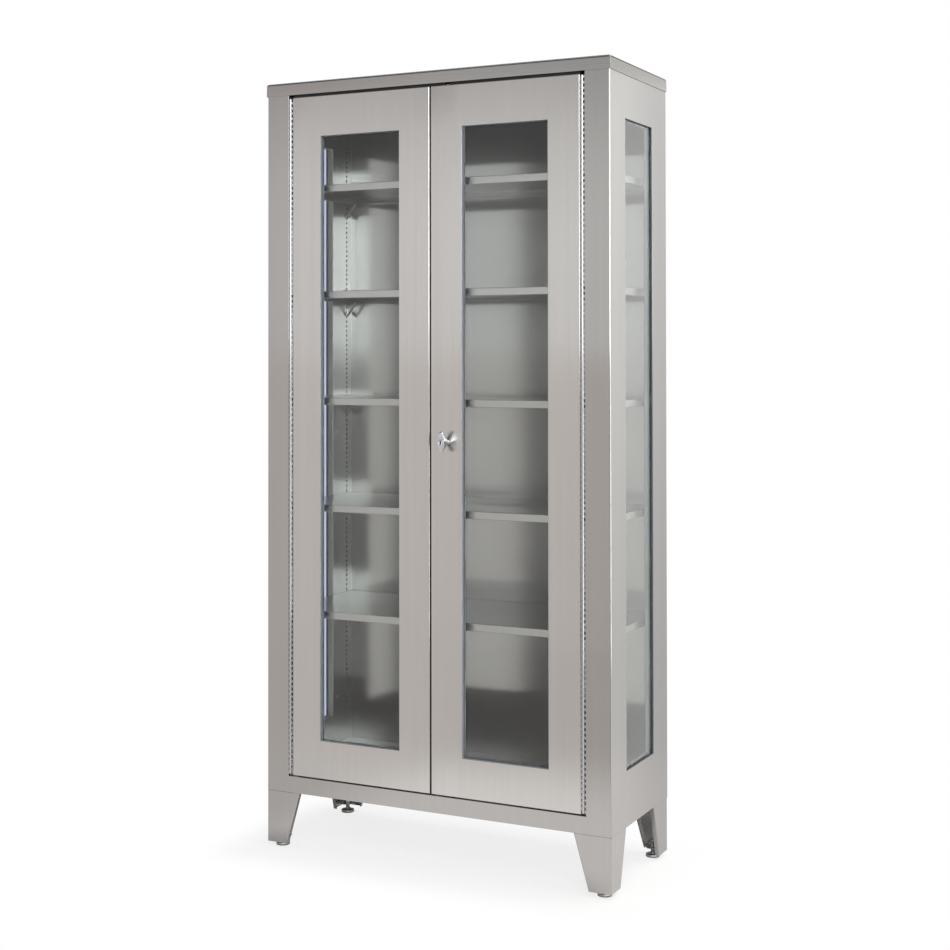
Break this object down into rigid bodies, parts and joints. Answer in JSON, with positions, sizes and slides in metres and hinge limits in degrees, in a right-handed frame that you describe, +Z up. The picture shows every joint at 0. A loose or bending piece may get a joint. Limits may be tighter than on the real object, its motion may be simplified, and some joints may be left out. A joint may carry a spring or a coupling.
{
  "type": "glass door medical cabinet",
  "caption": "Tall free-standing stainless cabinet with hinged glass doors, glazed sides, adjustable shelves, a locking rod latch and levelling feet.",
  "frame": {"origin": "on the floor, under the middle of the whole object from the face of the lock to the rear edge of the cap", "axes": "+Z up, the doors face -Y, +X to the right of someone who faces the doors"},
  "size_m": [0.918, 0.4026, 1.889],
  "materials": {
    "brushed_steel": "vertical brushed grain",
    "polished_steel": "bright rolled finish",
    "chrome": "polished plate",
    "zinc_steel": "dull zinc plate",
    "black_rubber": "dull extruded strip",
    "glass": "clear float glass"
  },
  "bodies": {
    "cabinet": {"top_cap": "brushed_steel", "base_pan": "brushed_steel", "front_rail": "brushed_steel", "header_rail": "brushed_steel", "back_panel": "polished_steel", "bottom_deck": "polished_steel", "left_side_shell": "brushed_steel", "left_side_liner": "polished_steel", "left_hinge_frame_leaf": "polished_steel", "left_side_glass": "glass", "right_side_shell": "brushed_steel", "right_side_liner": "polished_steel", "right_hinge_frame_leaf": "polished_steel", "right_side_glass": "glass", "front_left_leg": "brushed_steel", "front_right_leg": "brushed_steel", "rear_left_leg": "brushed_steel", "rear_right_leg": "brushed_steel", "shelf_1_clip_front_left": "polished_steel", "shelf_1_clip_rear_left": "polished_steel", "shelf_1_clip_front_right": "polished_steel", "shelf_1_clip_rear_right": "polished_steel", "shelf_2_clip_front_left": "polished_steel", "shelf_2_clip_rear_left": "polished_steel", "shelf_2_clip_front_right": "polished_steel", "shelf_2_clip_rear_right": "polished_steel", "shelf_3_clip_front_left": "polished_steel", "shelf_3_clip_rear_left": "polished_steel", "shelf_3_clip_front_right": "polished_steel", "shelf_3_clip_rear_right": "polished_steel", "shelf_4_clip_front_left": "polished_steel", "shelf_4_clip_rear_left": "polished_steel", "shelf_4_clip_front_right": "polished_steel", "shelf_4_clip_rear_right": "polished_steel", "shelf_5_clip_front_left": "polished_steel", "shelf_5_clip_rear_left": "polished_steel", "shelf_5_clip_front_right": "polished_steel", "shelf_5_clip_rear_right": "polished_steel"},
    "left_door": {"left_door_pan": "brushed_steel", "left_door_liner": "brushed_steel", "left_door_glass": "glass", "left_hinge_door_leaf": "polished_steel"},
    "right_door": {"right_door_pan": "brushed_steel", "right_door_liner": "brushed_steel", "right_door_glass": "glass", "right_hinge_door_leaf": "polished_steel"},
    "handle": {"handle": "chrome", "latch_cam": "zinc_steel"},
    "lock": {"lock_plug": "chrome"},
    "upper_rod": {"upper_latch_rod": "zinc_steel"},
    "lower_rod": {"lower_latch_rod": "zinc_steel"},
    "front_left_foot": {"front_left_foot": "zinc_steel"},
    "front_right_foot": {"front_right_foot": "zinc_steel"},
    "rear_left_foot": {"rear_left_foot": "zinc_steel"},
    "rear_right_foot": {"rear_right_foot": "zinc_steel"},
    "shelf_1": {"shelf_1": "polished_steel"},
    "shelf_2": {"shelf_2": "polished_steel"},
    "shelf_3": {"shelf_3": "polished_steel"},
    "shelf_4": {"shelf_4": "polished_steel"},
    "shelf_5": {"shelf_5": "polished_steel"}
  },
  "joints": [
    {"name": "left_door_swing", "type": "hinge", "parent": "cabinet", "child": "left_door", "pos_m": [-0.389, -0.16975, 1], "axis": [0, 0, -1], "range_deg": [0, 170]},
    {"name": "right_door_swing", "type": "hinge", "parent": "cabinet", "child": "right_door", "pos_m": [0.389, -0.16975, 1], "axis": [0, 0, 1], "range_deg": [0, 170]},
    {"name": "handle_turn", "type": "hinge", "parent": "right_door", "child": "handle", "pos_m": [0.044, -0.16875, 1.011], "axis": [0, 1, 0], "range_deg": [0, 90]},
    {"name": "upper_rod_slide", "type": "slide", "parent": "right_door", "child": "upper_rod", "axis": [0, 0, 1], "range_m": [0, 0.012]},
    {"name": "lower_rod_slide", "type": "slide", "parent": "right_door", "child": "lower_rod", "axis": [0, 0, -1], "range_m": [0, 0.012]},
    {"name": "lock_turn", "type": "hinge", "parent": "handle", "child": "lock", "pos_m": [0.044, -0.19575, 1.011], "axis": [0, 1, 0], "range_deg": [0, 90]},
    {"name": "front_left_foot_level", "type": "slide", "parent": "cabinet", "child": "front_left_foot", "axis": [0, 0, 1], "range_m": [-0.01, 0.01]},
    {"name": "front_right_foot_level", "type": "slide", "parent": "cabinet", "child": "front_right_foot", "axis": [0, 0, 1], "range_m": [-0.01, 0.01]},
    {"name": "rear_left_foot_level", "type": "slide", "parent": "cabinet", "child": "rear_left_foot", "axis": [0, 0, 1], "range_m": [-0.01, 0.01]},
    {"name": "rear_right_foot_level", "type": "slide", "parent": "cabinet", "child": "rear_right_foot", "axis": [0, 0, 1], "range_m": [-0.01, 0.01]},
    {"name": "shelf_1_lift", "type": "slide", "parent": "cabinet", "child": "shelf_1", "axis": [0, 0, 1], "range_m": [0, 0.12]},
    {"name": "shelf_2_lift", "type": "slide", "parent": "cabinet", "child": "shelf_2", "axis": [0, 0, 1], "range_m": [0, 0.12]},
    {"name": "shelf_3_lift", "type": "slide", "parent": "cabinet", "child": "shelf_3", "axis": [0, 0, 1], "range_m": [0, 0.12]},
    {"name": "shelf_4_lift", "type": "slide", "parent": "cabinet", "child": "shelf_4", "axis": [0, 0, 1], "range_m": [0, 0.12]},
    {"name": "shelf_5_lift", "type": "slide", "parent": "cabinet", "child": "shelf_5", "axis": [0, 0, 1], "range_m": [0, 0.12]}
  ],
  "couplings": [
    {"joint": "handle_turn", "follows": "upper_rod_slide", "rad_per_m": 130.9},
    {"joint": "lower_rod_slide", "follows": "upper_rod_slide", "ratio": 1}
  ]
}
